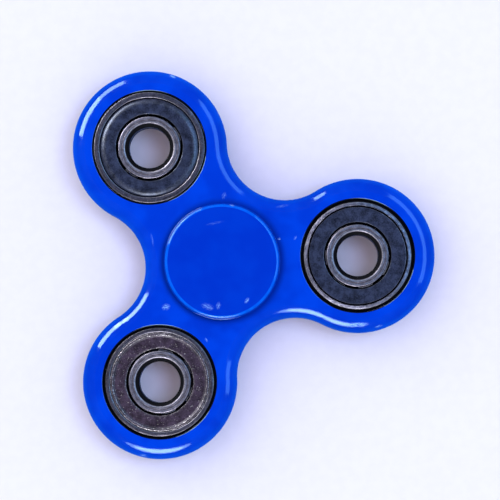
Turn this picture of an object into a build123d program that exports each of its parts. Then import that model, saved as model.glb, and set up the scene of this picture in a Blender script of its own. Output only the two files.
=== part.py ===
from build123d import *

import os
from typing import NamedTuple

# Three-armed fidget spinner. A moulded frame holds four 608 ball bearings, one in the hub and one at
# each arm's end. Two finger caps are pressed together through the hub bearing's bore.
#
# Sizes are in millimetres. The origin is on the spin axis at the frame's mid-thickness, +Z is up, and
# arm_1 points along +X. Every bearing piece is modelled once on the Z axis and copied to its seats.

# ---- Frame ----
ARM_RADIUS = 26.3  # spin axis to each arm bearing's axis
ARM_COUNT = 3
LOBE_RADIUS = 15.0  # round end of an arm
WAIST_RADIUS = ARM_RADIUS - LOBE_RADIUS  # hollow between two arms, tangent to both lobes
FRAME_THICKNESS = 7.4
FRAME_ROUNDING = 2.7  # soft outer rim, top and bottom
MOUTH_ROUNDING = 0.4  # mouth of each bearing pocket

# ---- Standard 608 bearing ----
BEARING_RADIUS = 11.0
BORE_RADIUS = 4.0
BEARING_WIDTH = 7.0
BALL_RADIUS = 3.969 / 2
BALL_COUNT = 7
PITCH_RADIUS = 7.5  # circle through the ball centres
BALL_PLAY = 0.035  # gap between a ball and each raceway's floor
OUTER_RACE_RADIUS = 2.08  # raceway section, a little wider than the ball
INNER_RACE_RADIUS = 2.04
OUTER_SHOULDER = 8.95  # the outer ring's inner wall beside the raceway
INNER_SHOULDER = 6.05  # the inner ring's outer wall
BORE_CHAMFER = 0.6
SHOULDER_CHAMFER = 0.3

# ---- Shields, pressed from thin sheet into a step at each end of the outer ring ----
SHIELD_INNER = 6.55
SHIELD_OUTER = 9.65
SHEET = 0.3
STEP_DEPTH = 0.85  # the ring's face down to the step's floor
SHIELD_DEPTH = 0.65  # the ring's face down to the shield's underside
LIP_DROP = 0.25  # inner edge, turned down beside the inner ring
PLATEAU_RADIUS = 9.0  # raised middle of the stepped shield
PLATEAU_HEIGHT = 0.2
BEAD_RADIUS = 0.3  # rolled edge of the crimped shield

# ---- Ribbon cage: two wavy halves riveted between the balls ----
CAGE_INNER = 6.65
CAGE_OUTER = 8.35
CAGE_SHEET = 0.35
POCKET_RADIUS = BALL_RADIUS + 0.05
DOME_RADIUS = POCKET_RADIUS + CAGE_SHEET
RIVET_RADIUS = 0.32
RIVET_HEAD_RADIUS = 0.55
RIVET_HEAD_HEIGHT = 0.25

# ---- Finger caps ----
CAP_RADIUS = 11.25
CAP_THICKNESS = 1.9
CAP_GAP = 0.8  # frame's face to the cap's underside
CAP_ROUNDING = 0.9
CAP_UNDER_ROUNDING = 0.25
BOSS_RADIUS = 5.6  # pad that stands on the hub's inner ring
DISH_RADIUS = 8.4
DISH_DEPTH = 0.35
SLEEVE_TOP = 2.4  # top of the lower cap's sleeve inside the bore
PIN_RADIUS = 2.5  # upper cap's pin, pressed into the sleeve
PIN_END = -2.0
SOCKET_END = -2.4

# ---- Heights that more than one piece shares ----
FRAME_TOP = FRAME_THICKNESS / 2
RING_TOP = BEARING_WIDTH / 2
SHIELD_FLOOR = RING_TOP - SHIELD_DEPTH
CAP_UNDERSIDE = FRAME_TOP + CAP_GAP
CAP_TOP = CAP_UNDERSIDE + CAP_THICKNESS
DISH_SPHERE = (DISH_RADIUS**2 + DISH_DEPTH**2) / (2 * DISH_DEPTH)


class Seat(NamedTuple):
    """A bearing's place in the frame, and how that bearing differs from the others."""

    name: str
    place: Vector
    corner: float  # chamfer of the outer ring's rim
    shield: str


def seat_place(turn, lift):
    """Centre of the arm bearing at this angle, pressed this far above the frame's middle."""
    return Vector(ARM_RADIUS, 0, lift).rotate(Axis.Z, turn)


SEATS = [
    Seat("hub", Vector(0, 0, 0), corner=0.4, shield="flat"),
    Seat("arm_1", seat_place(0, lift=-0.15), corner=0.5, shield="flat"),
    Seat("arm_2", seat_place(120, lift=0.15), corner=0.3, shield="stepped"),
    Seat("arm_3", seat_place(240, lift=-0.2), corner=0.5, shield="crimped"),
]

os.makedirs("parts", exist_ok=True)

# ---- Body frame: three lobes joined by concave waists, with a through pocket for each bearing ----
with BuildPart() as body_frame:
    with BuildSketch(Plane.XY.offset(-FRAME_TOP)):
        # The hexagon's corners are the centres of the lobes and of the waists by turns.
        RegularPolygon(ARM_RADIUS, side_count=2 * ARM_COUNT)
        with PolarLocations(ARM_RADIUS, ARM_COUNT):
            Circle(LOBE_RADIUS)
        with PolarLocations(ARM_RADIUS, ARM_COUNT, start_angle=180 / ARM_COUNT):
            Circle(WAIST_RADIUS, mode=Mode.SUBTRACT)
    extrude(amount=FRAME_THICKNESS)
    fillet(body_frame.faces().filter_by(Axis.Z).edges(), radius=FRAME_ROUNDING)
    Hole(BEARING_RADIUS)
    with PolarLocations(ARM_RADIUS, ARM_COUNT):
        Hole(BEARING_RADIUS)
    # The pockets' mouths are the smallest circles on the two flat faces.
    flat_faces = body_frame.faces().filter_by(Axis.Z)
    fillet(flat_faces.edges().group_by(SortBy.RADIUS)[0], radius=MOUTH_ROUNDING)
body_frame.part.label = "body_frame"
export_step(body_frame.part, "parts/body_frame.step")

# ---- Finger caps: a dished disc over the hub, on a boss that carries it clear of the frame ----
with BuildPart() as cap_disc:
    with BuildSketch(Plane.XY.offset(CAP_UNDERSIDE)):
        Circle(CAP_RADIUS)
    extrude(amount=CAP_THICKNESS)
    fillet(cap_disc.faces().sort_by(Axis.Z)[-1].edges(), radius=CAP_ROUNDING)
    fillet(cap_disc.faces().sort_by(Axis.Z)[0].edges(), radius=CAP_UNDER_ROUNDING)
    with Locations((0, 0, CAP_TOP - DISH_DEPTH + DISH_SPHERE)):
        Sphere(DISH_SPHERE, mode=Mode.SUBTRACT)
    with BuildSketch(Plane.XY.offset(RING_TOP)):
        Circle(BOSS_RADIUS)
    extrude(amount=CAP_UNDERSIDE - RING_TOP)

# The upper cap has a short plug in the bore, and the pin that holds both caps together.
with BuildPart() as upper_cap:
    add(cap_disc.part)
    with BuildSketch(Plane.XY.offset(SLEEVE_TOP)):
        Circle(BORE_RADIUS)
    extrude(amount=RING_TOP - SLEEVE_TOP)
    with BuildSketch(Plane.XY.offset(PIN_END)):
        Circle(PIN_RADIUS)
    extrude(amount=SLEEVE_TOP - PIN_END)
upper_cap.part.label = "upper_cap"
export_step(upper_cap.part, "parts/upper_cap.step")

# The lower cap has a sleeve up through the bore, with a blind socket for the pin.
with BuildPart() as lower_cap:
    mirror(cap_disc.part, about=Plane.XY)
    with BuildSketch(Plane.XY.offset(-RING_TOP)):
        Circle(BORE_RADIUS)
    extrude(amount=SLEEVE_TOP + RING_TOP)
    with BuildSketch(Plane.XY.offset(SOCKET_END)):
        Circle(PIN_RADIUS)
    extrude(amount=SLEEVE_TOP - SOCKET_END, mode=Mode.SUBTRACT)
lower_cap.part.label = "lower_cap"
export_step(lower_cap.part, "parts/lower_cap.step")


# ---- Bearing rings: a half section in the plane of radius and height, turned about the axis ----
def make_outer_ring(corner):
    """Outer ring: a deep raceway inside, and a step at each end for a shield."""
    race_floor = PITCH_RADIUS + BALL_RADIUS + BALL_PLAY
    with BuildPart() as outer_ring:
        with BuildSketch(Plane.XZ) as section:
            with Locations((BEARING_RADIUS, 0)):
                wall = BEARING_RADIUS - OUTER_SHOULDER
                Rectangle(wall, BEARING_WIDTH, align=(Align.MAX, Align.CENTER))
            chamfer(section.vertices().group_by(Axis.X)[-1], length=corner)
            with Locations((race_floor - OUTER_RACE_RADIUS, 0)):
                Circle(OUTER_RACE_RADIUS, mode=Mode.SUBTRACT)
            with Locations((0, RING_TOP), (0, STEP_DEPTH - RING_TOP)):
                Rectangle(SHIELD_OUTER, STEP_DEPTH, align=(Align.MIN, Align.MAX), mode=Mode.SUBTRACT)
        revolve(axis=Axis.Z)
    return outer_ring.part


with BuildPart() as inner_ring:
    with BuildSketch(Plane.XZ) as section:
        with Locations((BORE_RADIUS, 0)):
            wall = INNER_SHOULDER - BORE_RADIUS
            Rectangle(wall, BEARING_WIDTH, align=(Align.MIN, Align.CENTER))
        chamfer(section.vertices().group_by(Axis.X)[0], length=BORE_CHAMFER)
        chamfer(section.vertices().group_by(Axis.X)[-1], length=SHOULDER_CHAMFER)
        with Locations((PITCH_RADIUS - BALL_RADIUS - BALL_PLAY + INNER_RACE_RADIUS, 0)):
            Circle(INNER_RACE_RADIUS, mode=Mode.SUBTRACT)
    revolve(axis=Axis.Z)

# ---- Balls and cage ----
ball_places = PolarLocations(PITCH_RADIUS, BALL_COUNT)
rivet_places = PolarLocations(PITCH_RADIUS, BALL_COUNT, start_angle=180 / BALL_COUNT)

with BuildPart() as balls:
    with ball_places:
        Sphere(BALL_RADIUS)

# Each cage half is a flat ring with a domed pocket over every ball.
with BuildPart() as cage_upper:
    with BuildSketch():
        Circle(CAGE_OUTER)
    extrude(amount=CAGE_SHEET)
    with ball_places:
        Sphere(DOME_RADIUS)
    with BuildSketch():
        Circle(CAGE_OUTER)
        Circle(CAGE_INNER, mode=Mode.SUBTRACT)
    extrude(amount=DOME_RADIUS, mode=Mode.INTERSECT)
    with ball_places:
        Sphere(POCKET_RADIUS, mode=Mode.SUBTRACT)
    with rivet_places:
        Hole(RIVET_RADIUS)

with BuildPart() as cage_lower:
    mirror(cage_upper.part, about=Plane.XY)

# Each rivet's shank goes through both halves, with a round-edged head at each end.
with BuildPart() as cage_rivets:
    for side in (Plane.XY, -Plane.XY):
        with BuildSketch(side):
            with rivet_places:
                Circle(RIVET_RADIUS)
        extrude(amount=CAGE_SHEET)
        with BuildSketch(side.offset(CAGE_SHEET)):
            with rivet_places:
                Circle(RIVET_HEAD_RADIUS)
        extrude(amount=RIVET_HEAD_HEIGHT)
    levels = cage_rivets.faces().filter_by(Axis.Z).group_by(Axis.Z)
    fillet((levels[0] + levels[-1]).edges(), radius=RIVET_HEAD_HEIGHT / 2)


# ---- Shields ----
def make_shield(style):
    """Cover at the bearing's top: a flat washer whose inner edge is turned down."""
    with BuildPart() as shield:
        with BuildSketch(Plane.XZ):
            with Locations((SHIELD_INNER, SHIELD_FLOOR)):
                Rectangle(SHIELD_OUTER - SHIELD_INNER, SHEET, align=(Align.MIN, Align.MIN))
                Rectangle(SHEET, LIP_DROP, align=(Align.MIN, Align.MAX))
            if style == "stepped":
                with Locations((SHIELD_INNER, SHIELD_FLOOR + SHEET)):
                    width = PLATEAU_RADIUS - SHIELD_INNER
                    Rectangle(width, PLATEAU_HEIGHT, align=(Align.MIN, Align.MIN))
            if style == "crimped":
                with Locations((SHIELD_OUTER - BEAD_RADIUS, SHIELD_FLOOR + SHEET)):
                    Circle(BEAD_RADIUS)
        revolve(axis=Axis.Z)
    return shield.part


# ---- The four bearings, each piece copied from the Z axis to its seat ----
for seat in SEATS:
    upper_shield = make_shield(seat.shield)
    bearing = {
        "outer_ring": make_outer_ring(seat.corner),
        "inner_ring": inner_ring.part,
        "balls": balls.part,
        "cage_upper": cage_upper.part,
        "cage_lower": cage_lower.part,
        "cage_rivets": cage_rivets.part,
        "upper_shield": upper_shield,
        "lower_shield": upper_shield.mirror(Plane.XY),
    }
    for name, piece in bearing.items():
        placed = piece.moved(Location(seat.place))
        placed.label = f"{seat.name}_{name}"
        export_step(placed, f"parts/{placed.label}.step")
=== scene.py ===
import math

import bmesh
import bpy
from mathutils import Matrix, Vector, noise


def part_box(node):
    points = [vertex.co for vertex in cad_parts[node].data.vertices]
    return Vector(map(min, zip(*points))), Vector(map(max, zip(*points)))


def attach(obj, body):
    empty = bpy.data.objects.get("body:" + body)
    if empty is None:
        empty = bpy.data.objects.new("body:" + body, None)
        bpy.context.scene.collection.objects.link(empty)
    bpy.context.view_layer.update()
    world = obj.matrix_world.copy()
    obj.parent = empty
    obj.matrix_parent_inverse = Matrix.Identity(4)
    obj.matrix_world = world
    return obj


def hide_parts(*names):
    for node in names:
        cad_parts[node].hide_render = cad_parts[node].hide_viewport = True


# Looks of the fidget spinner: a glossy moulded frame, two finger caps, and four worn 608 bearings.
#
# Every piece is built here in millimetres, about the place where the CAD has it, and scaled to metres
# when its mesh is made. Heights are along Z, and the spin axis is the Z axis.

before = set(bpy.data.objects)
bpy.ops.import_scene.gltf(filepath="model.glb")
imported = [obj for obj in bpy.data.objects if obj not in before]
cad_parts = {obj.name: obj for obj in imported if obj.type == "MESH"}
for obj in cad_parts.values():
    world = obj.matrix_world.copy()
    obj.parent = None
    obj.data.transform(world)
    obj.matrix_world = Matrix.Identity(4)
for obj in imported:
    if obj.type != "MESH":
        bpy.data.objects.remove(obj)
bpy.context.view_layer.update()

MM = 0.001
FULL_TURN = 2 * math.pi


# ---------------------------------------------------------------- sizes that the frame gives
def low_corner(node):
    """Lowest corner of a CAD node, in millimetres."""
    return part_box(node)[0] / MM


def high_corner(node):
    """Highest corner of a CAD node, in millimetres."""
    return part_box(node)[1] / MM


def seat_centre(name):
    """Middle of the bearing in this seat, in millimetres."""
    return (low_corner(f"{name}_outer_ring") + high_corner(f"{name}_outer_ring")) / 2


def least_radius(node):
    """Distance from the Z axis to a hub node's nearest vertex, in millimetres."""
    return min(v.co.xy.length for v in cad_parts[node].data.vertices) / MM


SEATS = {name: seat_centre(name) for name in ("hub", "arm_1", "arm_2", "arm_3")}

FRAME_TOP = high_corner("body_frame").z
ARM_RADIUS = SEATS["arm_1"].x
LOBE_RADIUS = high_corner("body_frame").x - ARM_RADIUS
WAIST_RADIUS = ARM_RADIUS - LOBE_RADIUS
RIM_ROUNDING = 2.7  # of the frame's outer edges; the one size here that the frame's box can't give

RING_RADIUS = high_corner("hub_outer_ring").x
RING_TOP = high_corner("hub_outer_ring").z
SHOULDER = least_radius("hub_outer_ring")
BORE = least_radius("hub_inner_ring")
INNER_WALL = high_corner("hub_inner_ring").x
SHIELD_OUTER = high_corner("hub_upper_shield").x
SHIELD_INNER = least_radius("hub_upper_shield")
SHIELD_TOP = high_corner("hub_upper_shield").z

CAP_RADIUS = high_corner("upper_cap").x
CAP_TOP = high_corner("upper_cap").z
PIN_END = low_corner("upper_cap").z
FLOOR = low_corner("lower_cap").z

# ---------------------------------------------------------------- mesh building
SEGMENTS = 192  # around a turned piece
CAP_SEGMENTS = 256
SHIELD_SEGMENTS = 384
CORNER_STEPS = 4  # facets across a rounded corner
SUPPORT = 0.04  # extra loop beside each corner, so that flats stay flat under smooth shading


def finish_mesh(name, mesh, centre, body, material, node):
    """Turns a bmesh in millimetres into a smooth piece that stands for a CAD node and rides on its body."""
    bmesh.ops.recalc_face_normals(mesh, faces=mesh.faces)
    for face in mesh.faces:
        face.smooth = True
    mesh.transform(Matrix.Scale(MM, 4))
    data = bpy.data.meshes.new(name)
    mesh.to_mesh(data)
    mesh.free()
    data.materials.append(material)
    piece = bpy.data.objects.new(name, data)
    piece.location = centre * MM
    bpy.context.scene.collection.objects.link(piece)
    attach(piece, body)
    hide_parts(node)


def bridge(mesh, first, second):
    """Joins two closed loops of vertices with a band of faces. A pole is a loop of one vertex."""
    count = max(len(first), len(second))
    for i in range(count):
        j = (i + 1) % count
        corners = [first[i % len(first)], first[j % len(first)]]
        corners += [second[j % len(second)], second[i % len(second)]]
        mesh.faces.new(list(dict.fromkeys(corners)))


WORN_AND_HIGHLIGHT = 1.0  # mark of an edge that has rubbed bright; on the cap's rim its paler blue is also a painted highlight
PLAIN = 0.0
SHADED_DIRTY = -1.0  # mark of a corner or recess painted dark: painted shade and dirt


def rounded(corners):
    """Points and marks of a section whose corners are (radius, height, rounding, mark).

    A rounded corner becomes an arc that carries the corner's mark, with one more point at each side,
    and a dark mark, painted shade and dirt, reaches those too.
    The mark may be left out: a rounded corner is then WORN_AND_HIGHLIGHT, and a sharp one PLAIN.
    """
    section = []
    for i, (radius, height, rounding, *mark) in enumerate(corners):
        mark = mark[0] if mark else (WORN_AND_HIGHLIGHT if rounding else PLAIN)
        corner = Vector((radius, height))
        if not rounding:
            section.append((corner, mark))
            continue
        before = (Vector(corners[i - 1][:2]) - corner).normalized()
        after = (Vector(corners[(i + 1) % len(corners)][:2]) - corner).normalized()
        half = before.angle(after) / 2
        tangent = rounding / math.tan(half)
        centre = corner + (before + after).normalized() * rounding / math.sin(half)
        start = corner + before * tangent - centre
        end = corner + after * tangent - centre
        section.append((corner + before * (tangent + SUPPORT), min(mark, PLAIN)))
        for step in range(CORNER_STEPS + 1):
            share = step / CORNER_STEPS
            section.append((centre + start.slerp(end, share).normalized() * rounding, mark))
        section.append((corner + after * (tangent + SUPPORT), min(mark, PLAIN)))
    return section


def finer(section, longest):
    """The same closed section with extra points, so that no stretch of it is longer than this."""
    result = []
    for (point, mark), (following, next_mark) in zip(section, section[1:] + section[:1]):
        pieces = math.ceil((following - point).length / longest)
        for i in range(pieces):
            share = i / pieces
            result.append((point.lerp(following, share), mark + (next_mark - mark) * share))
    return result


def lathe(section, closed=True, segments=SEGMENTS, shape=None):
    """Turns a section about the Z axis. A closed section makes a ring, an open one runs pole to pole.

    shape(radius, height, angle, mark) may move a point, and returns its new radius and height.
    """
    mesh = bmesh.new()
    layer = mesh.verts.layers.float.new("mark")
    loops = []
    for (radius, height), mark in section:
        loop = []
        for i in range(1 if radius == 0 else segments):
            angle = FULL_TURN * i / segments
            r, z = shape(radius, height, angle, mark) if shape else (radius, height)
            vertex = mesh.verts.new((r * math.cos(angle), r * math.sin(angle), z))
            vertex[layer] = mark
            loop.append(vertex)
        loops.append(loop)
    for first, second in zip(loops, loops[1:]):
        bridge(mesh, first, second)
    if closed:
        bridge(mesh, loops[-1], loops[0])
    return mesh


def upside_down(section):
    """The same section below the middle plane."""
    return [(Vector((point.x, -point.y)), mark) for point, mark in section]


def lumps(angle, height, size, seed):
    """Noise from -1 to 1 round a circle, with lumps of this size in millimetres at a bearing's rim."""
    spot = Vector((math.cos(angle), math.sin(angle), 0)) * RING_RADIUS
    return noise.noise((spot + Vector((0, 0, height + seed))) / size)


# ---------------------------------------------------------------- node materials
class Shader:
    """One material's node tree. Each method adds nodes and returns their output."""

    def __init__(self, name):
        self.material = bpy.data.materials.new(name)
        self.material.use_nodes = True
        self.tree = self.material.node_tree
        self.principled = self.tree.nodes["Principled BSDF"]
        place = self.tree.nodes.new("ShaderNodeTexCoord").outputs["Object"]
        self.place = self.vector("MULTIPLY", place, (1 / MM, 1 / MM, 1 / MM))

    def put(self, socket, value):
        """Links an output to an input, or sets the input's value."""
        if isinstance(value, bpy.types.NodeSocket):
            self.tree.links.new(value, socket)
        elif socket.type == "RGBA":
            socket.default_value = (*value, 1)
        else:
            socket.default_value = value

    def finish(self, **inputs):
        """Sets the principled shader's inputs; Base_Color stands for Base Color."""
        for name, value in inputs.items():
            self.put(self.principled.inputs[name.replace("_", " ")], value)
        return self.material

    def math(self, operation, first, second=0.0, clamp=False):
        """Arithmetic on two numbers."""
        node = self.tree.nodes.new("ShaderNodeMath")
        node.operation = operation
        node.use_clamp = clamp
        self.put(node.inputs[0], first)
        self.put(node.inputs[1], second)
        return node.outputs[0]

    def vector(self, operation, first, second=(0.0, 0.0, 0.0)):
        """Arithmetic on two vectors, or the length of the first."""
        node = self.tree.nodes.new("ShaderNodeVectorMath")
        node.operation = operation
        self.put(node.inputs[0], first)
        self.put(node.inputs[1], second)
        return node.outputs["Value" if operation == "LENGTH" else "Vector"]

    def noise(self, size, detail=3.0, roughness=0.55, place=None):
        """Noise from 0 to 1 whose grains are about this many millimetres."""
        node = self.tree.nodes.new("ShaderNodeTexNoise")
        self.put(node.inputs["Vector"], place or self.place)
        self.put(node.inputs["Scale"], 1 / size)
        self.put(node.inputs["Detail"], detail)
        self.put(node.inputs["Roughness"], roughness)
        return node.outputs["Fac"]

    def ramp(self, value, low, high, out_low=0.0, out_high=1.0):
        """Smoothly maps low..high to out_low..out_high."""
        node = self.tree.nodes.new("ShaderNodeMapRange")
        node.interpolation_type = "SMOOTHSTEP"
        for name, number in (
            ("Value", value),
            ("From Min", low),
            ("From Max", high),
            ("To Min", out_low),
            ("To Max", out_high),
        ):
            self.put(node.inputs[name], number)
        return node.outputs["Result"]

    def mix(self, factor, first, second):
        """Mixes two colours."""
        node = self.tree.nodes.new("ShaderNodeMixRGB")
        self.put(node.inputs["Fac"], factor)
        self.put(node.inputs["Color1"], first)
        self.put(node.inputs["Color2"], second)
        return node.outputs["Color"]

    def mark(self):
        """The mesh's mark layer: positive on worn edges and the cap rim's painted highlight, negative where
        shade and dirt are painted dark.
        """
        node = self.tree.nodes.new("ShaderNodeAttribute")
        node.attribute_name = "mark"
        return node.outputs["Fac"]

    def reach(self):
        """Distance from the piece's own Z axis, in millimetres."""
        return self.vector("LENGTH", self.vector("MULTIPLY", self.place, (1.0, 1.0, 0.0)))

    def polar(self, angular):
        """The place as (radius, angle * angular, height), for marks that run round."""
        split = self.tree.nodes.new("ShaderNodeSeparateXYZ")
        self.put(split.inputs[0], self.place)
        angle = self.math("ARCTAN2", split.outputs["Y"], split.outputs["X"])
        join = self.tree.nodes.new("ShaderNodeCombineXYZ")
        self.put(join.inputs["X"], self.reach())
        self.put(join.inputs["Y"], self.math("MULTIPLY", angle, angular))
        self.put(join.inputs["Z"], split.outputs["Z"])
        return join.outputs[0]

    def flatness(self):
        """1 on level faces, 0 wherever the surface tilts by 10 degrees or more."""
        normal = self.tree.nodes.new("ShaderNodeNewGeometry").outputs["Normal"]
        upright = self.vector("LENGTH", self.vector("MULTIPLY", normal, (0.0, 0.0, 1.0)))
        return self.ramp(upright, 0.985, 0.998)

    def slant(self):
        """0 on faces seen from 60 degrees or higher above them, 1 on faces seen from 30 or lower."""
        facing = self.tree.nodes.new("ShaderNodeLayerWeight").outputs["Facing"]
        return self.ramp(facing, 0.15, 0.45)

    def bump(self, height, depth, before=None):
        """Bump whose full height is depth millimetres."""
        node = self.tree.nodes.new("ShaderNodeBump")
        self.put(node.inputs["Height"], height)
        self.put(node.inputs["Distance"], depth * MM)
        if before:
            self.put(node.inputs["Normal"], before)
        return node.outputs["Normal"]


def shade_of(colour, share):
    """The same hue, darker or lighter."""
    return tuple(share * channel for channel in colour)


def scuff_mask(shader, scuffs):
    """Faint rubbed streaks: fine noise drawn out along each scuff, fading towards its outline."""
    mask = 0.0
    for place, heading, length, width, strength in scuffs:
        turn = shader.tree.nodes.new("ShaderNodeVectorRotate")
        turn.rotation_type = "Z_AXIS"
        shader.put(turn.inputs["Vector"], shader.vector("SUBTRACT", shader.place, tuple(place)))
        shader.put(turn.inputs["Angle"], math.radians(-heading))
        across = shader.vector("MULTIPLY", turn.outputs["Vector"], (1 / length, 1 / width, 0.5))
        inside = shader.ramp(shader.vector("LENGTH", across), 1.0, 0.2)
        streaks = shader.vector("MULTIPLY", turn.outputs["Vector"], (0.35, 1.0, 1.0))
        ragged = shader.noise(0.22, detail=6.0, roughness=0.75, place=streaks)
        marked = shader.math("MULTIPLY", inside, shader.ramp(ragged, 0.42, 0.62, 0.0, strength))
        mask = shader.math("MAXIMUM", mask, marked)
    return mask


SATIN_ROUGHNESS = 0.12  # added on the plastic's level faces
SATIN_SPECULAR = 0.012
FULL_SPECULAR = 0.5
# specular level where shade and dirt are painted dark
SHADE_AND_DIRT_SPECULAR = 0.05


def plastic(name, colour, shade, scuffs, cap_shadow_radii=None):
    """Glossy moulded plastic: faint mottling, handling haze, pale edges of wear and painted highlight, edges
    painted dark as shade and dirt, scuffs.

    Its level faces, which fingers rub, are satin.
    Within the two radii given (deepest, open) the colour is deeper: a painted shadow round the cap.
    """
    shader = Shader(name)
    mottle = shader.noise(6.0, detail=2.0)
    haze = shader.noise(1.6, detail=5.0, roughness=0.7)
    along = shader.vector("MULTIPLY", shader.place, (0.25, 1.0, 1.0))
    scratches = shader.noise(0.35, detail=2.0, place=along)
    scuffed = scuff_mask(shader, scuffs)
    mark = shader.mark()
    # pale edges: wear, and on the cap's rim a painted highlight
    edge = shader.math("MULTIPLY", mark, shader.ramp(haze, 0.3, 0.7, 0.6, 1.0))
    # dark marks: painted shade and dirt in the pockets
    shade_and_dirt = shader.math("MULTIPLY", mark, -1.0, clamp=True)
    body = shader.mix(shader.ramp(mottle, 0.35, 0.65), shade, colour)
    # painted shadow of the cap: the colour deepens close round it
    if cap_shadow_radii:
        body = shader.mix(shader.ramp(shader.reach(), *cap_shadow_radii), shade_of(shade, 0.7), body)
    body = shader.mix(shade_and_dirt, shader.mix(edge, body, EDGE_WEAR_AND_HIGHLIGHT_BLUE), SHADE_AND_DIRT_BLACK)
    roughness = shader.ramp(haze, 0.35, 0.75, 0.06, 0.12)
    roughness = shader.math("ADD", roughness, shader.math("MULTIPLY", scuffed, 0.3))
    flat = shader.flatness()
    roughness = shader.math("ADD", roughness, shader.math("MULTIPLY", flat, SATIN_ROUGHNESS))
    waves = shader.bump(shader.noise(3.5, detail=1.0), 0.012)
    fine = shader.bump(scratches, 0.0012, waves)
    dug = shader.bump(scuffed, 0.02, fine)
    return shader.finish(
        Base_Color=shader.mix(scuffed, body, SCUFF_BLUE),
        Roughness=roughness,
        Specular_IOR_Level=shader.ramp(flat, 0.0, 1.0, FULL_SPECULAR, SATIN_SPECULAR),
        Specular_Tint=GLOSS_TINT,
        Normal=dug,
    )


def turned_steel(name, tone, wear, roughness):
    """Worn turned steel: lathe marks round the axis, bright rubbed edges, and corners painted dark as shade
    and dirt.
    """
    shader = Shader(name)
    marks = shader.noise(0.12, detail=2.0, place=shader.polar(0.35))
    blotches = shader.noise(0.9, detail=5.0, roughness=0.65)
    grit = shader.noise(0.16, detail=3.0, roughness=0.7)
    mark = shader.mark()
    rubbed = shader.math("MULTIPLY", mark, shader.ramp(grit, 0.4, 0.65, 0.1, 1.0))
    rubbed = shader.math("MULTIPLY", rubbed, wear, clamp=True)
    specks = shader.ramp(shader.math("ADD", blotches, grit), 1.12, 1.3, 0.0, wear)
    rubbed = shader.math("MAXIMUM", rubbed, specks)
    # painted shade and dirt in corners and recesses, near black
    shade_and_dirt = shader.math("MULTIPLY", mark, -1.0, clamp=True)
    streaks = shader.ramp(shader.math("ADD", marks, blotches), 0.7, 1.3)
    streaked = shader.mix(streaks, shade_of(tone, 0.4), shade_of(tone, 1.5))
    shine = shader.ramp(blotches, 0.3, 0.7, roughness + 0.08, roughness - 0.05)
    grain = shader.bump(marks, 0.012)
    return shader.finish(
        Base_Color=shader.mix(shade_and_dirt, shader.mix(rubbed, streaked, BARE_STEEL), SHADE_AND_DIRT_BLACK),
        Metallic=shader.ramp(shade_and_dirt, 0.0, 0.6, 1.0, 0.0),
        Specular_IOR_Level=shader.ramp(shade_and_dirt, 0.0, 0.6, FULL_SPECULAR, SHADE_AND_DIRT_SPECULAR),
        Roughness=shader.math("ADD", shine, shader.math("MULTIPLY", shade_and_dirt, 0.3)),
        Normal=shader.bump(grit, 0.02, grain),
    )


def coated_steel(name, coat, worn, speckle, roughness, grit_depth):
    """Thin sheet with a dark baked coat, speckled with wear and dust, and painted dark as shade and dirt
    where marked.

    Its level faces lose their sheen when they are seen from low down, so that they stay dark there too.
    """
    shader = Shader(name)
    blotches = shader.noise(1.5, detail=5.0, roughness=0.6)
    grit = shader.noise(0.28, detail=4.0, roughness=0.75)
    flecks = shader.ramp(shader.noise(0.3, detail=2.0), speckle, speckle + 0.08, 0.0, 0.6)
    mark = shader.mark()
    # painted shade and dirt on the lips, near black
    shade_and_dirt = shader.math("MULTIPLY", mark, -1.0, clamp=True)
    edge = shader.math("MULTIPLY", mark, shader.ramp(grit, 0.48, 0.68, 0.03, 0.8), clamp=True)
    bare = shader.math("MAXIMUM", edge, flecks)
    shades = shader.ramp(shader.math("ADD", blotches, grit), 0.75, 1.25)
    mottled = shader.mix(shades, shade_of(coat, 0.5), shade_of(coat, 1.6))
    shine = shader.ramp(blotches, 0.3, 0.7, roughness - 0.04, roughness + 0.06)
    flat = shader.flatness()
    sheen = shader.ramp(shader.math("MULTIPLY", flat, shader.slant()), 0.0, 1.0, 1.0, 0.0)
    metallic = shader.ramp(bare, 0.0, 1.0, 0.3, 1.0)
    dull = shader.math("MAXIMUM", shade_and_dirt, shader.math("MULTIPLY", flat, 0.5))
    specular = shader.ramp(dull, 0.0, 0.6, FULL_SPECULAR, SHADE_AND_DIRT_SPECULAR)
    return shader.finish(
        Base_Color=shader.mix(shade_and_dirt, shader.mix(bare, mottled, worn), SHADE_AND_DIRT_BLACK),
        Metallic=shader.math("MULTIPLY", metallic, sheen),
        Specular_IOR_Level=shader.math("MULTIPLY", specular, sheen),
        Roughness=shader.math("SUBTRACT", shine, shader.math("MULTIPLY", bare, 0.25)),
        Normal=shader.bump(grit, grit_depth),
    )


def polished_steel(name, colour, film, roughness, film_size):
    """Bright steel under a thin uneven film of oil."""
    shader = Shader(name)
    oily = shader.ramp(shader.noise(film_size, detail=3.0), 0.4, 0.65)
    fine = shader.noise(0.08, detail=2.0)
    return shader.finish(
        Base_Color=shader.mix(oily, colour, film),
        Metallic=1.0,
        Roughness=shader.ramp(oily, 0.0, 1.0, roughness, roughness + 0.15),
        Normal=shader.bump(fine, 0.0015),
    )


# ---------------------------------------------------------------- the materials
GLOSS_TINT = (0.55, 0.86, 1.0)
# paler blue of worn plastic edges; on the cap's rim it is a painted highlight as well
EDGE_WEAR_AND_HIGHLIGHT_BLUE = (0.0, 0.11, 0.75)
SCUFF_BLUE = (0.25, 0.5, 0.95)
FRAME_BLUE = (0.0, 0.044, 0.57)
FRAME_SHADE = (0.0, 0.032, 0.49)
CAP_BLUE = (0.0, 0.032, 0.47)
CAP_SHADE = (0.0, 0.026, 0.44)
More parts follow.
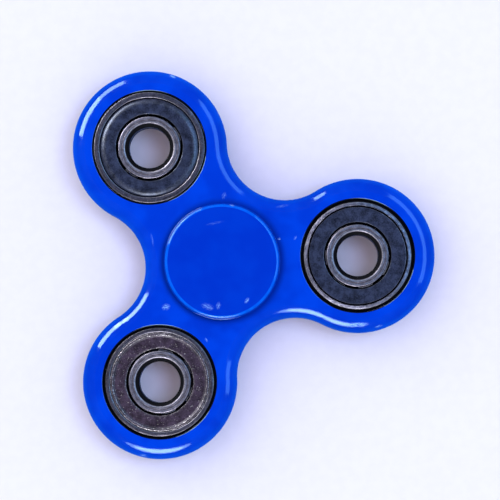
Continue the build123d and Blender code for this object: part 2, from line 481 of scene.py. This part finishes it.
# near black: painted shade and dirt in corners, gaps and recesses
SHADE_AND_DIRT_BLACK = (0.003, 0.003, 0.005)
BARE_STEEL = (0.5, 0.46, 0.48)
DARK_RING = (0.12, 0.105, 0.15)
RUBBED_RING = (0.16, 0.15, 0.21)
INNER_RING = (0.2, 0.175, 0.225)
NAVY_COAT = (0.023, 0.03, 0.062)
NAVY_WORN = (0.24, 0.26, 0.32)
BROWN_COAT = (0.037, 0.025, 0.043)
BROWN_WORN = (0.75, 0.7, 0.7)


def on_top(radius, degrees, height, centre=Vector()):
    """A point at this radius and angle about a centre, at this height."""
    angle = math.radians(degrees)
    return Vector((centre.x + radius * math.cos(angle), centre.y + radius * math.sin(angle), height))


def on_rim(radius, degrees, arm):
    """A point of the rounded rim at this radius and angle about an arm's centre."""
    inset = LOBE_RADIUS - radius
    tilt = math.asin(1 - inset / RIM_ROUNDING)
    return on_top(radius, degrees, FRAME_TOP - RIM_ROUNDING * (1 - math.cos(tilt)), SEATS[arm])


# A scuff is its place, heading in degrees, half length, half width and strength.
frame_scuffs = [
    (on_top(14.0, -143.6, FRAME_TOP), 20, 1.0, 0.8, 1.0),
    (on_top(11.9, 19.2, FRAME_TOP), 0, 0.4, 0.3, 0.9),
    (on_top(14.9, 15.4, FRAME_TOP), 60, 0.6, 0.3, 0.5),
    (on_top(12.8, 85.8, FRAME_TOP), 70, 0.9, 0.6, 0.35),
    (on_top(15.5, -104, FRAME_TOP), 120, 0.6, 0.3, 0.6),
    (on_top(14.2, 160, FRAME_TOP), 100, 1.6, 0.3, 0.25),
    (on_top(16.0, 40, FRAME_TOP), 10, 1.8, 0.4, 0.2),
    (on_rim(13.4, -94, "arm_1"), 4, 2.6, 0.5, 0.9),
    (on_rim(14.3, -76, "arm_1"), 14, 1.0, 0.3, 0.8),
    (on_rim(14.6, 69.5, "arm_2"), -20, 0.9, 0.4, 0.9),
    (on_rim(14.6, -105, "arm_3"), -15, 0.9, 0.4, 0.7),
]
cap_scuffs = [
    (on_top(9.2, -110, CAP_TOP), -20, 1.5, 0.8, 0.6),
    (on_top(8.6, -97, CAP_TOP), 80, 0.9, 0.6, 0.6),
    (on_top(9.0, -60, CAP_TOP), 55, 0.8, 0.45, 0.9),
    (on_top(7.5, 98, CAP_TOP), 10, 2.2, 0.4, 0.15),
    (on_top(CAP_RADIUS - 0.25, 77.5, CAP_TOP - 0.3), -14, 0.7, 0.3, 1.0),
]
# the frame's colour is painted deeper round the cap, as the cap's shadow
frame_plastic = plastic(
    "frame_plastic_worn", FRAME_BLUE, FRAME_SHADE, frame_scuffs, cap_shadow_radii=(CAP_RADIUS, CAP_RADIUS + 1.5)
)
cap_plastic = plastic("cap_plastic_worn", CAP_BLUE, CAP_SHADE, cap_scuffs)
dark_ring_steel = turned_steel("ring_steel_dark", DARK_RING, wear=0.6, roughness=0.36)
rubbed_ring_steel = turned_steel("ring_steel_rubbed", RUBBED_RING, wear=0.9, roughness=0.46)
inner_ring_steel = turned_steel("inner_ring_steel", INNER_RING, wear=0.7, roughness=0.42)
shield_coat = coated_steel(
    "shield_coat", NAVY_COAT, NAVY_WORN, speckle=0.7, roughness=0.31, grit_depth=0.014
)
brown_coat = coated_steel(
    "brown_shield_coat", BROWN_COAT, BROWN_WORN, speckle=0.66, roughness=0.42, grit_depth=0.03
)
ball_steel = polished_steel("ball_steel_oiled", (0.6, 0.6, 0.62), (0.3, 0.27, 0.22), 0.08, film_size=1.2)
# the cage's dark tone is an oil film and painted shade inside the bearing
cage_steel_shaded = polished_steel("cage_steel_oiled_and_shaded", (0.14, 0.12, 0.1), (0.06, 0.045, 0.035), 0.3, film_size=0.8)
rivet_steel = polished_steel("rivet_steel_oiled", (0.25, 0.22, 0.2), (0.12, 0.1, 0.08), 0.25, film_size=0.4)

# ---------------------------------------------------------------- body frame
RIM_STEPS = 16
LOBE_POINTS = 220  # along the round end of an arm
WAIST_POINTS = 60  # along the hollow between two arms
FLAT_SUPPORT = 0.12
POCKET_SEGMENTS = 180
MOUTH_ROUNDING = 0.25
MOUTH_STEPS = 6
SHADED_DIRTY_MOUTH = 0.7  # share of the mouth's rounding painted dark as shade and dirt
SEAM_PROUD = 0.04  # parting line round a moulded piece, where the mould closed
SEAM_WIDTH = 0.12


class Dent:
    """A nick or chip in a moulded edge: its place, how far it reaches and how deep it goes."""

    def __init__(self, place, reach, depth):
        self.place = place
        self.reach = reach
        self.depth = depth

    def sink(self, point):
        """How far a point of the surface sinks, with a ragged outline."""
        distance = (point - self.place).length / self.reach
        if distance >= 1:
            return 0.0
        ragged = 0.75 + 0.5 * noise.noise(point / 0.35)
        return self.depth * ragged * (1 - distance**2) ** 2


def outline(inset):
    """One turn of the frame's outline, moved this far inside the silhouette."""
    points = []
    for arm in range(3):
        along = FULL_TURN * arm / 3
        lobe = Vector((math.cos(along), math.sin(along))) * ARM_RADIUS
        across = along + math.pi / 3
        waist = Vector((math.cos(across), math.sin(across))) * ARM_RADIUS
        for i in range(LOBE_POINTS + 1):
            angle = along + math.radians(-120 + 240 * i / LOBE_POINTS)
            reach = Vector((math.cos(angle), math.sin(angle))) * (LOBE_RADIUS - inset)
            points.append(lobe + reach)
        for i in range(1, WAIST_POINTS):
            angle = along + math.radians(-60 - 120 * i / WAIST_POINTS)
            reach = Vector((math.cos(angle), math.sin(angle))) * (WAIST_RADIUS + inset)
            points.append(waist + reach)
    return points


def rim_section():
    """(inset, height) pairs from the top face round the rim to the seam at mid-height."""
    section = [(RIM_ROUNDING + FLAT_SUPPORT, FRAME_TOP)]
    for step in range(RIM_STEPS + 1):
        tilt = math.pi / 2 * step / RIM_STEPS
        inset = RIM_ROUNDING * (1 - math.sin(tilt))
        section.append((inset, FRAME_TOP - RIM_ROUNDING * (1 - math.cos(tilt))))
    section.append((0, SEAM_WIDTH))
    section.append((0, SEAM_WIDTH / 2))
    section.append((-SEAM_PROUD, SEAM_WIDTH / 4))
    return section


def pocket_section():
    """(radius, height) pairs from the top face round the mouth to mid-height."""
    mouth = RING_RADIUS + MOUTH_ROUNDING
    section = [(mouth + SUPPORT, FRAME_TOP)]
    for step in range(MOUTH_STEPS + 1):
        tilt = math.pi / 2 * step / MOUTH_STEPS
        height = FRAME_TOP - MOUTH_ROUNDING * (1 - math.cos(tilt))
        section.append((mouth - MOUTH_ROUNDING * math.sin(tilt), height))
    section.append((RING_RADIUS, FRAME_TOP - MOUTH_ROUNDING - SUPPORT))
    return section


def pocket_mark(radius):
    """A pocket's wall and most of its rounded mouth are painted dark as shade and dirt."""
    return SHADED_DIRTY if radius < RING_RADIUS + SHADED_DIRTY_MOUTH * MOUTH_ROUNDING else PLAIN


def whole(section):
    """A half section with its mirror image below, from the top face to the bottom face."""
    return section + [(across, -height) for across, height in reversed(section)]


def build_frame(dents):
    """The moulded frame: rim, two flat faces and four pockets, as one closed surface."""
    mesh = bmesh.new()
    layer = mesh.verts.layers.float.new("mark")
    rim = []
    for inset, height in whole(rim_section()):
        rim.append([mesh.verts.new((*point, height)) for point in outline(inset)])
    for first, second in zip(rim, rim[1:]):
        bridge(mesh, first, second)
    top, bottom = [rim[0]], [rim[-1]]
    for centre in SEATS.values():
        wall = []
        for radius, height in whole(pocket_section()):
            loop = []
            for i in range(POCKET_SEGMENTS):
                angle = FULL_TURN * i / POCKET_SEGMENTS
                x = centre.x + radius * math.cos(angle)
                y = centre.y + radius * math.sin(angle)
                vertex = mesh.verts.new((x, y, height))
                vertex[layer] = pocket_mark(radius)
                loop.append(vertex)
            wall.append(loop)
        for first, second in zip(wall, wall[1:]):
            bridge(mesh, first, second)
        top.append(wall[0])
        bottom.append(wall[-1])
    for face_loops in (top, bottom):
        edges = []
        for loop in face_loops:
            edges += [mesh.edges.get((a, b)) for a, b in zip(loop, loop[1:] + loop[:1])]
        bmesh.ops.triangle_fill(mesh, use_beauty=True, edges=edges)
    bmesh.ops.recalc_face_normals(mesh, faces=mesh.faces)
    mesh.normal_update()
    sunk = [(v, v.normal * sum(dent.sink(v.co) for dent in dents)) for v in mesh.verts]
    for vertex, depth in sunk:
        vertex.co -= depth
    return mesh


frame_dents = [
    Dent(on_rim(14.6, 69.5, "arm_2"), reach=0.9, depth=0.14),
    Dent(on_rim(14.6, -77, "arm_1"), reach=0.7, depth=0.12),
    Dent(on_rim(14.6, -105, "arm_3"), reach=0.7, depth=0.1),
    Dent(on_rim(13.5, -90, "arm_1"), reach=0.6, depth=0.04),
    Dent(on_rim(13.3, -97, "arm_1"), reach=0.6, depth=0.05),
]
finish_mesh(
    "frame_moulding",
    build_frame(frame_dents),
    Vector(),
    "frame",
    frame_plastic,
    "body_frame",
)

# ---------------------------------------------------------------- finger caps
CAP_THICKNESS = 1.9
CAP_EDGE = 10.95  # radius where the face meets the wall
CAP_EDGE_ROUNDING = 0.5
CAP_WALL_DROP = 0.85  # from the face down to the ledge
CAP_LEDGE = 0.14  # width of the ledge that runs round below the wall
CAP_LEDGE_DROP = 0.05
CAP_LEDGE_ROUNDING = 0.07
BOSS_RADIUS = 5.6
SLEEVE_TOP = 2.4
PIN_RADIUS = 2.5
SOCKET_PLAY = 0.02  # between the pin and its socket
SOCKET_ROOM = 0.4  # below the pin's end
DISH_RADIUS = 9.6
DISH_DEPTH = 0.33
DISH_STEPS = 14


def cap_head():
    """Pole to boss: the dished face, the rounded rim, and the underside in to the boss."""
    dish = [(Vector((0, CAP_TOP - DISH_DEPTH)), 0.0)]
    for step in range(1, DISH_STEPS + 1):
        share = step / DISH_STEPS
        rise = DISH_DEPTH * (1 + math.cos(math.pi * share)) / 2
        dish.append((Vector((DISH_RADIUS * share, CAP_TOP - rise)), 0.0))
    underside = CAP_TOP - CAP_THICKNESS
    widest = CAP_RADIUS + SEAM_PROUD
    rim = rounded([
        (DISH_RADIUS, CAP_TOP, 0),
        (CAP_EDGE, CAP_TOP, CAP_EDGE_ROUNDING),
        (widest - CAP_LEDGE, CAP_TOP - CAP_WALL_DROP, 0.1, PLAIN),
        (widest, CAP_TOP - CAP_WALL_DROP - CAP_LEDGE_DROP, CAP_LEDGE_ROUNDING, PLAIN),
        (widest, underside, 0.25, PLAIN),
        (BOSS_RADIUS, underside, 0.15, PLAIN),
        (BOSS_RADIUS, RING_TOP, 0.1, PLAIN),
        (BORE, RING_TOP, 0),
    ])
    return dish + rim[1:]


def upper_cap_section():
    """The head, then the plug in the bore and the pin down to its end."""
    shaft = rounded([
        (BORE, RING_TOP, 0),
        (BORE, SLEEVE_TOP, 0.1),
        (PIN_RADIUS, SLEEVE_TOP, 0.1),
        (PIN_RADIUS, PIN_END, 0.2),
        (0, PIN_END, 0),
    ])
    return cap_head() + shaft[1:]


def lower_cap_section():
    """The head upside down, then the sleeve up through the bore with its blind socket."""
    socket_radius = PIN_RADIUS + SOCKET_PLAY
    socket_end = PIN_END - SOCKET_ROOM
    sleeve_end = SLEEVE_TOP - SOCKET_PLAY
    sleeve = rounded([
        (BORE, -RING_TOP, 0),
        (BORE, sleeve_end, 0.1),
        (socket_radius, sleeve_end, 0.1),
        (socket_radius, socket_end, 0.2),
        (0, socket_end, 0),
    ])
    return upside_down(cap_head()) + sleeve[1:]


def chipped(dent):
    """A shape for lathe() that sinks the cap's rim at one chip."""
    def shape(radius, height, angle, mark):
        point = Vector((radius * math.cos(angle), radius * math.sin(angle), height))
        sunk = dent.sink(point)
        return radius - sunk * 0.7, height - sunk * 0.7
    return shape


cap_chip = Dent(on_top(CAP_RADIUS - 0.1, 77.5, CAP_TOP - 0.6), reach=0.7, depth=0.16)
finish_mesh(
    "upper_cap_moulding",
    lathe(upper_cap_section(), closed=False, segments=CAP_SEGMENTS, shape=chipped(cap_chip)),
    Vector(),
    "grip",
    cap_plastic,
    "upper_cap",
)
finish_mesh(
    "lower_cap_moulding",
    lathe(lower_cap_section(), closed=False, segments=CAP_SEGMENTS),
    Vector(),
    "grip",
    cap_plastic,
    "lower_cap",
)

# ---------------------------------------------------------------- bearings
RING_GAP = 0.05  # hairline between a ring and its pocket
RACE_REACH = 2.08  # radius of the outer raceway's section
RACE_FLOOR = 9.52
INNER_RACE_REACH = 2.04  # radius of the inner raceway's section
INNER_RACE_FLOOR = 5.48
RACE_STEPS = 12
BORE_CHAMFER = 0.78
GROOVE_RADIUS = 5.35  # shallow turned groove round the inner ring's face
SHEET = 0.3
LIP_RADIUS = 6.3  # where a shield's turned-in lip ends, close to the inner ring
LIP_DROP = 0.55
STEP_RISE = 0.23  # raised middle of a stepped shield
BEAD_RISE = 0.3  # battered bead round a crimped shield
CROWN_WIDTH = 0.5  # worn slope outside the flat of a rubbed ring
CROWN_DROP = 0.13


def race(floor, reach, shoulder, side):
    """Arc of a raceway between its two shoulders; side is 1 where it is cut outwards, -1 inwards."""
    centre = floor - side * reach
    half = math.acos((shoulder - centre) * side / reach)
    points = []
    for step in range(RACE_STEPS + 1):
        angle = half - 2 * half * step / RACE_STEPS
        place = Vector((centre + side * reach * math.cos(angle), reach * math.sin(angle)))
        points.append((place, 0.0))
    return points


def chamfer_shade_and_dirt(radius, height, size, side):
    """A point near the top of a 45 degree chamfer that keeps the whole chamfer painted dark as shade and
    dirt.

    The chamfer cuts the corner at this radius and height; side is 1 where the face lies outside the
    corner, -1 inside.
    """
    return (radius + side * 0.88 * size, height - 0.12 * size, 0, SHADED_DIRTY)


def whole_ring(upper, raceway):
    """A ring's section from its upper half, with the raceway between that and its mirror image."""
    lower = list(reversed(upside_down(upper[1:-1])))
    return upper[:-1] + raceway + lower


def outer_ring_section(chamfer, rubbed):
    """Outer wall, steps for the shields, and the raceway; the chamfers and the steps' floors are painted
    dark as shade and dirt.
    """
    wall = RING_RADIUS - RING_GAP
    step_floor = SHIELD_TOP - SHEET - 0.2
    face_end = wall - chamfer
    edge = RING_TOP - (CROWN_DROP if rubbed else 0)
    corners = [
        (wall, 0, 0),
        (wall, edge - chamfer, 0.12, SHADED_DIRTY),
        chamfer_shade_and_dirt(wall, edge, chamfer, side=-1),
        (face_end, edge, 0.06),
    ]
    if rubbed:
        corners.append((face_end - CROWN_WIDTH, RING_TOP, 0.8, PLAIN))
    corners += [
        (SHIELD_OUTER + 0.06, RING_TOP, 0.1),
        (SHIELD_OUTER + 0.06, step_floor, 0, SHADED_DIRTY),
        (SHOULDER, step_floor, 0.08, SHADED_DIRTY),
        (SHOULDER, 0, 0),
    ]
    return whole_ring(rounded(corners), race(RACE_FLOOR, RACE_REACH, SHOULDER, side=1))


def inner_ring_section():
    """Bore, a face with one shallow groove, and the raceway; chamfers and inner wall are painted dark as
    shade and dirt, the groove's floor darker.
    """
    upper = rounded([
        (BORE, 0, 0),
        (BORE, RING_TOP - BORE_CHAMFER, 0.1, SHADED_DIRTY),
        chamfer_shade_and_dirt(BORE, RING_TOP, BORE_CHAMFER, side=1),
        (BORE + BORE_CHAMFER + 0.1, RING_TOP, 0.3),
        (GROOVE_RADIUS - 0.12, RING_TOP, 0.15, PLAIN),
        (GROOVE_RADIUS, RING_TOP - 0.06, 0.15, 0.6 * SHADED_DIRTY),
        (GROOVE_RADIUS + 0.12, RING_TOP, 0.15, PLAIN),
        (INNER_WALL - 0.12, RING_TOP, 0.15, 0.3 * WORN_AND_HIGHLIGHT),
        (INNER_WALL, RING_TOP - 0.12, 0.05, SHADED_DIRTY),
        (INNER_WALL, RING_TOP - 0.5, 0, SHADED_DIRTY),
        (INNER_WALL, 0, 0),
    ])
    return whole_ring(upper, race(INNER_RACE_FLOOR, INNER_RACE_REACH, INNER_WALL, side=-1))


def shield_section(style):
    """Thin sheet washer with a turned-in lip painted dark as shade and dirt, and the style's own outer part.
    """
    top = SHIELD_TOP
    if style == "stepped":
        face = top + STEP_RISE
        outside = [
            (SHIELD_OUTER - 0.1, top - SHEET, 0.06),
            (SHIELD_OUTER - 0.1, top - 0.1, 0.08),
            (SHIELD_OUTER - 0.22, top - 0.1, 0.15, PLAIN),
            (SHIELD_OUTER - 0.85, face, 1.6, 0.3 * WORN_AND_HIGHLIGHT),
        ]
    elif style == "crimped":
        face = top
        outside = [
            (SHIELD_OUTER - 0.02, top - SHEET, 0.06),
            (SHIELD_OUTER - 0.02, top + BEAD_RISE, 0.2),
            (SHIELD_OUTER - 0.55, top + BEAD_RISE, 0.2),
            (SHIELD_OUTER - 0.85, top, 0.3, PLAIN),
        ]
    else:
        face = top
        outside = [
            (SHIELD_OUTER - 0.2, top - SHEET, 0.06),
            (SHIELD_OUTER - 0.2, top, 0.1),
        ]
    lip = [
        (SHIELD_INNER, face, 0.08),
        (SHIELD_INNER - 0.02, face - 0.12, 0, SHADED_DIRTY),
        (LIP_RADIUS, face - LIP_DROP, 0.05, SHADED_DIRTY),
        (LIP_RADIUS + 0.15, face - LIP_DROP - 0.15, 0.05, SHADED_DIRTY),
        (SHIELD_INNER + 0.3, top - SHEET, 0.1, SHADED_DIRTY),
    ]
    return finer(rounded(outside + lip), longest=0.3)


def crushed(depth, size, seed):
    """A shape for lathe() that batters the worn edges of a piece."""
    def shape(radius, height, angle, mark):
        push = depth * max(mark, 0.0)
        outwards = push * lumps(angle, height, size, seed)
        downwards = push * abs(lumps(angle, radius, size, seed + 9))
        return radius + outwards, height - math.copysign(downwards, height)
    return shape


STYLES = {"hub": "flat", "arm_1": "flat", "arm_2": "stepped", "arm_3": "crimped"}
RING_CHAMFERS = {"hub": 0.4, "arm_1": 0.6, "arm_2": 0.26, "arm_3": 0.5}

for seed, (name, centre) in enumerate(SEATS.items()):
    style = STYLES[name]
    rubbed = style == "flat"
    inner_body = "grip" if name == "hub" else f"{name}_inner"
    finish_mesh(
        f"{name}_outer_race",
        lathe(outer_ring_section(RING_CHAMFERS[name], rubbed), shape=crushed(0.03, 0.6, seed)),
        centre,
        "frame",
        rubbed_ring_steel if rubbed else dark_ring_steel,
        f"{name}_outer_ring",
    )
    finish_mesh(
        f"{name}_inner_race",
        lathe(inner_ring_section(), shape=crushed(0.02, 0.5, seed + 30)),
        centre,
        inner_body,
        inner_ring_steel,
        f"{name}_inner_ring",
    )
    battered = crushed(0.12, 0.6, seed + 60) if style == "crimped" else crushed(0.02, 0.9, seed + 60)
    face_up = shield_section(style)
    for side, section in (("upper", face_up), ("lower", upside_down(face_up))):
        finish_mesh(
            f"{name}_{side}_dust_shield",
            lathe(section, segments=SHIELD_SEGMENTS, shape=battered),
            centre,
            "frame",
            brown_coat if style == "crimped" else shield_coat,
            f"{name}_{side}_shield",
        )
    for part, material in (
        ("balls", ball_steel),
        ("cage_upper", cage_steel_shaded),
        ("cage_lower", cage_steel_shaded),
        ("cage_rivets", rivet_steel),
    ):
        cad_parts[f"{name}_{part}"].data.materials[0] = material

# ---------------------------------------------------------------- floor
FLOOR_REACH = 10.0  # metres, so that the floor meets the horizon from any side
PAPER = (0.68, 0.68, 0.8)
PAPER_LIGHT = (0.7, 0.7, 0.82)
PAPER_IN_GLOSS = (0.02, 0.25, 0.8)  # the floor as the glossy pieces reflect it


def build_floor():
    """A pale paper floor under the lower cap."""
    shader = Shader("pale_paper")
    fibre = shader.noise(2.0, detail=4.0)
    shade = shader.mix(shader.ramp(fibre, 0.3, 0.7), PAPER, PAPER_LIGHT)
    rays = shader.tree.nodes.new("ShaderNodeLightPath")
    shade = shader.mix(rays.outputs["Is Glossy Ray"], shade, PAPER_IN_GLOSS)
    material = shader.finish(
        Base_Color=shade,
        Roughness=0.9,
        Specular_IOR_Level=0.0,
        Normal=shader.bump(fibre, 0.002),
    )
    mesh = bmesh.new()
    corners = [(-1, -1), (1, -1), (1, 1), (-1, 1)]
    height = FLOOR * MM
    mesh.faces.new([mesh.verts.new((x * FLOOR_REACH, y * FLOOR_REACH, height)) for x, y in corners])
    data = bpy.data.meshes.new("floor")
    mesh.to_mesh(data)
    mesh.free()
    data.materials.append(material)
    floor = bpy.data.objects.new("floor", data)
    bpy.context.scene.collection.objects.link(floor)


build_floor()


# ---------------------------------------------------------------- light
def towards(azimuth, from_vertical):
    """Unit vector at this azimuth (0 along +X) and this many degrees from straight up."""
    across = math.sin(math.radians(from_vertical))
    turn = math.radians(azimuth)
    up = math.cos(math.radians(from_vertical))
    return Vector((across * math.cos(turn), across * math.sin(turn), up))


def hang(thing, place, facing):
    """Puts a light in the room, out of the camera's sight, shining along this direction."""
    thing.location = place
    thing.rotation_euler = (-facing).to_track_quat("Z", "Y").to_euler()
    thing.visible_camera = False
    bpy.context.scene.collection.objects.link(thing)


def panel(name, azimuth, reach, heights, wide, facing, radiance, colour, shape="RECTANGLE"):
    """A softbox as gloss sees it: it stands upright at this azimuth and reach, in millimetres."""
    low, high = heights
    light = bpy.data.lights.new(name, "AREA")
    light.shape = shape
    light.size = wide * MM
    light.size_y = (high - low) * MM
    light.energy = radiance * math.pi * light.size * light.size_y
    light.color = colour
    thing = bpy.data.objects.new(name, light)
    thing.visible_diffuse = False
    place = towards(azimuth, 90) * reach + Vector((0, 0, (low + high) / 2))
    hang(thing, place * MM, towards(facing, 90))


def glow(name, azimuth, from_vertical, spread, strength, colour):
    """A softbox as matt surfaces see it, from this direction and without falling off."""
    light = bpy.data.lights.new(name, "SUN")
    light.angle = math.radians(spread)
    light.energy = strength
    light.color = colour
    thing = bpy.data.objects.new(name, light)
    thing.visible_glossy = False
    source = towards(azimuth, from_vertical)
    hang(thing, source, -source)


KEY_WHITE = (0.92, 0.97, 1.0)
SIDE_BLUE = (0.3, 0.62, 1.0)
GLOW_WHITE = (0.95, 0.97, 1.0)
GLOW_BLUE = (0.5, 0.68, 1.0)
panel(
    "key_panel", azimuth=143.7, reach=166, heights=(38, 162), wide=84, facing=-24,
    radiance=19.0, colour=KEY_WHITE,
)
panel(
    "key_panel_far", azimuth=121.0, reach=400, heights=(76, 345), wide=158, facing=-57,
    radiance=12.0, colour=KEY_WHITE,
)
panel(
    "front_panel", azimuth=-99, reach=166, heights=(38, 225), wide=150, facing=81,
    radiance=5.5, colour=KEY_WHITE, shape="ELLIPSE",
)
panel(
    "front_panel_core", azimuth=-99, reach=165, heights=(60, 180), wide=105, facing=81,
    radiance=9.0, colour=KEY_WHITE, shape="ELLIPSE",
)
panel(
    "side_panel", azimuth=16, reach=160, heights=(120, 390), wide=240, facing=-164,
    radiance=4.5, colour=SIDE_BLUE,
)
glow("key_glow", azimuth=150, from_vertical=40, spread=70, strength=1.2, colour=GLOW_WHITE)
glow("front_glow", azimuth=-99, from_vertical=50, spread=50, strength=0.3, colour=GLOW_WHITE)
glow("side_glow", azimuth=10, from_vertical=20, spread=24, strength=1.4, colour=GLOW_BLUE)


ROOM_SEEN = (0.92, 0.93, 1.0)
CEILING_IN_GLOSS = (0.02, 0.03, 0.055)
WALLS_IN_GLOSS = (0.03, 0.12, 0.3)
CEILING_FILL = (0.88, 0.48, 0.54)
WALLS_FILL = (0.79, 0.82, 0.8)


def build_world():
    """Pale room for the camera, a fill for matt surfaces that is warm overhead, a dark room in the gloss."""
    world = bpy.data.worlds.new("studio")
    world.use_nodes = True
    world.cycles.sampling_method = "NONE"
    tree = world.node_tree
    background = tree.nodes["Background"]
    rays = tree.nodes.new("ShaderNodeLightPath")
    place = tree.nodes.new("ShaderNodeTexCoord")
    split = tree.nodes.new("ShaderNodeSeparateXYZ")
    tree.links.new(place.outputs["Generated"], split.inputs[0])

    def wall(high, low):
        """1 towards the walls, 0 overhead, changing between these two heights on the unit sphere."""
        node = tree.nodes.new("ShaderNodeMapRange")
        node.interpolation_type = "SMOOTHSTEP"
        node.inputs["From Min"].default_value = high
        node.inputs["From Max"].default_value = low
        tree.links.new(split.outputs["Z"], node.inputs["Value"])
        return node.outputs["Result"]

    def mix(factor, first, second):
        node = tree.nodes.new("ShaderNodeMixRGB")
        tree.links.new(factor, node.inputs["Fac"])
        for socket, value in ((node.inputs["Color1"], first), (node.inputs["Color2"], second)):
            if isinstance(value, tuple):
                socket.default_value = (*value, 1)
            else:
                tree.links.new(value, socket)
        return node.outputs["Color"]

    gloss = mix(wall(high=0.75, low=0.05), CEILING_IN_GLOSS, WALLS_IN_GLOSS)
    matt = mix(wall(high=0.93, low=0.87), CEILING_FILL, WALLS_FILL)
    fill = mix(rays.outputs["Is Glossy Ray"], matt, gloss)
    seen = mix(rays.outputs["Is Camera Ray"], fill, ROOM_SEEN)
    tree.links.new(seen, background.inputs["Color"])
    bpy.context.scene.world = world


build_world()
bpy.context.scene.view_settings.view_transform = "Standard"

# ---------------------------------------------------------------- camera
CAMERA_DISTANCE = 700.0
CAMERA_TARGET = Vector((5.5, 2.0, FRAME_TOP))
CAMERA_TILT = 1.71  # degrees from straight above
CAMERA_SIDE = -70.7  # azimuth that it leans towards
CAMERA_ROLL = 2.56
FIELD_OF_VIEW = 7.92


def build_camera():
    """Looks almost straight down through a long lens."""
    data = bpy.data.cameras.new("camera")
    data.lens = data.sensor_width / 2 / math.tan(math.radians(FIELD_OF_VIEW / 2))
    data.clip_start = 0.01
    camera = bpy.data.objects.new("camera", data)
    back = towards(CAMERA_SIDE, CAMERA_TILT)
    roll = math.radians(CAMERA_ROLL)
    up = Vector((math.sin(roll), math.cos(roll), 0))
    right = up.cross(back).normalized()
    up = back.cross(right)
    camera.matrix_world = Matrix.Translation((CAMERA_TARGET + back * CAMERA_DISTANCE) * MM) @ (
        Matrix((right, up, back)).transposed().to_4x4()
    )
    bpy.context.scene.collection.objects.link(camera)
    bpy.context.scene.camera = camera


build_camera()
